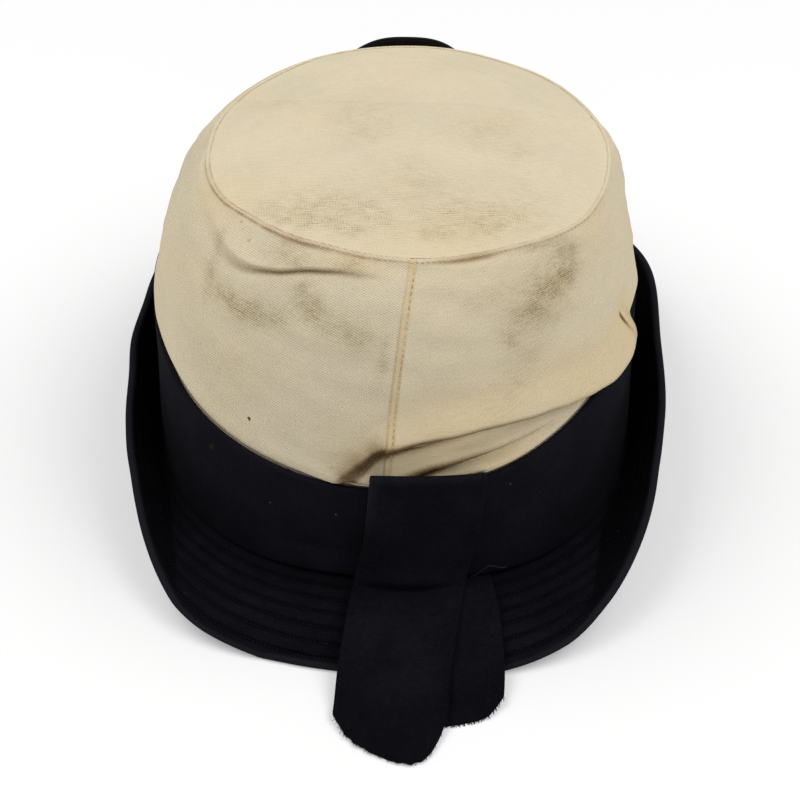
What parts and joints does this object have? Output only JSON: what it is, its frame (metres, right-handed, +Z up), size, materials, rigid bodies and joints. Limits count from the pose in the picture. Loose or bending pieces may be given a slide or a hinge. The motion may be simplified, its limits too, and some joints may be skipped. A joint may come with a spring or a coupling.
{
  "type": "naval officer hat",
  "caption": "Soft naval officer hat with a cotton crown cover, ribbed band, stitched brim turned up at the sides and ribbon tails at the back.",
  "frame": {"origin": "under the middle of the whole hat's box, on the surface that the brim rests on", "axes": "+Y towards the front of the hat, +X to the wearer's right, +Z up"},
  "size_m": [0.1962, 0.3046, 0.1322],
  "materials": {
    "cover_cotton": "aged cotton twill, stained",
    "band_cloth": "fine ribbed navy cloth",
    "brim_wool": "navy wool with rows of stitching",
    "tail_ribbon": "ribbed navy ribbon with frayed ends",
    "patch_cloth": "plain dark felt"
  },
  "bodies": {
    "root": {"crown_top": "cover_cotton", "crown_side": "cover_cotton", "hat_band": "band_cloth", "brim": "brim_wool", "ribbon_tail_upper": "tail_ribbon", "ribbon_tail_lower": "tail_ribbon", "front_patch": "patch_cloth"}
  },
  "joints": []
}
